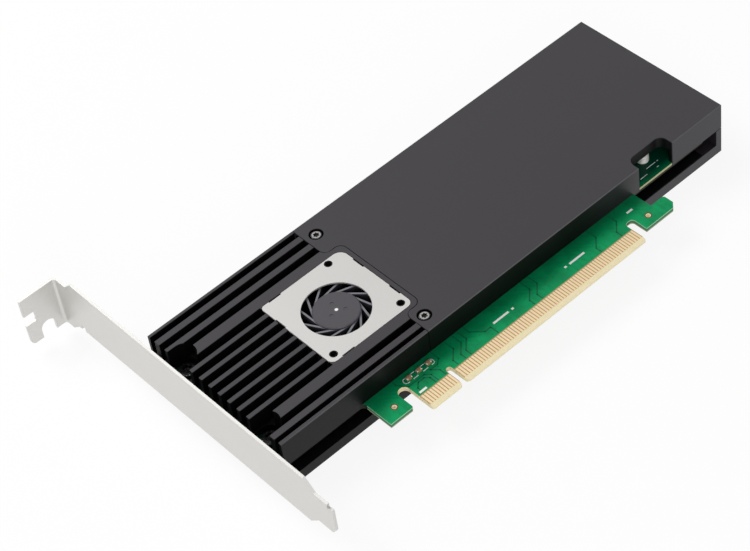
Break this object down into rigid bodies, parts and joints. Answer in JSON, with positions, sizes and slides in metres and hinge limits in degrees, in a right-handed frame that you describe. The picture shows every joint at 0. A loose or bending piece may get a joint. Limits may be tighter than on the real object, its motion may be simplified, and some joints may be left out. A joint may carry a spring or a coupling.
{
  "type": "nvme adapter card",
  "caption": "Slot-mounted adapter card for solid-state drives: aluminium housing with a finned heatsink, a blower fan and a full-height bracket.",
  "frame": {"origin": "centre of the key notch at the tips of the edge tongue, on the component side of the board", "axes": "+X along the card away from the slot bracket, +Y away from the edge tongue, +Z out of the component side; the card lies on its lower shell"},
  "size_m": [0.1927, 0.1215, 0.0255],
  "materials": {
    "solder_mask": "green solder mask over glass laminate, satin gloss",
    "gold_plate": "thin gold plating, bright",
    "black_anodise": "black anodised aluminium, fine bead-blasted grain",
    "black_steel": "black oxide, worn bright at the recess edges",
    "bright_steel": "plain nickel plating",
    "black_plastic": "moulded black plastic",
    "fan_plate_steel": "pale satin plating",
    "hub_plastic": "moulded dark grey plastic",
    "magnet": "bonded magnet",
    "bronze": "sintered bronze",
    "stator_winding": "laminated core with enamelled copper wire",
    "thermal_pad": "soft grey silicone",
    "ceramic": "fired ceramic with tinned ends",
    "chip_body": "moulded black epoxy",
    "ferrite": "pressed grey ferrite",
    "light_lens": "clear yellowish resin",
    "pale_plastic": "pale moulded nylon",
    "bracket_steel": "nickel-plated sheet, satin"
  },
  "bodies": {
    "card": {"bracket_nuts": "bright_steel", "bracket_screws": "black_steel", "bulk_capacitors": "ceramic", "ceramic_capacitors": "ceramic", "circuit_board": "solder_mask", "clock_chip": "chip_body", "cover_screws": "black_steel", "drive_screws": "bright_steel", "drive_socket_bottom_1": "black_plastic", "drive_socket_bottom_2": "black_plastic", "drive_socket_top_1": "black_plastic", "drive_socket_top_2": "black_plastic", "drive_standoffs": "bright_steel", "edge_contacts_bottom": "gold_plate", "edge_contacts_top": "gold_plate", "fan_bush": "bronze", "fan_frame": "black_plastic", "fan_header": "pale_plastic", "fan_screws": "black_steel", "fan_stator": "stator_winding", "fan_top_plate": "fan_plate_steel", "finned_heatsink": "black_anodise", "lower_shell": "black_anodise", "power_inductors": "ferrite", "regulator_chips": "chip_body", "shell_screws": "black_steel", "shell_spacers": "bright_steel", "slot_bracket": "bracket_steel", "status_lights": "light_lens", "thermal_pads_bottom": "thermal_pad", "thermal_pads_top": "thermal_pad", "upper_cover": "black_anodise"},
    "fan_rotor": {"fan_impeller": "hub_plastic", "fan_shaft": "bright_steel", "magnet_ring": "magnet"}
  },
  "joints": [
    {"name": "fan_spin", "type": "hinge", "parent": "card", "child": "fan_rotor", "pos_m": [-0.01045, 0.0405, 0.005], "axis": [0, 0, 1], "continuous": true}
  ]
}
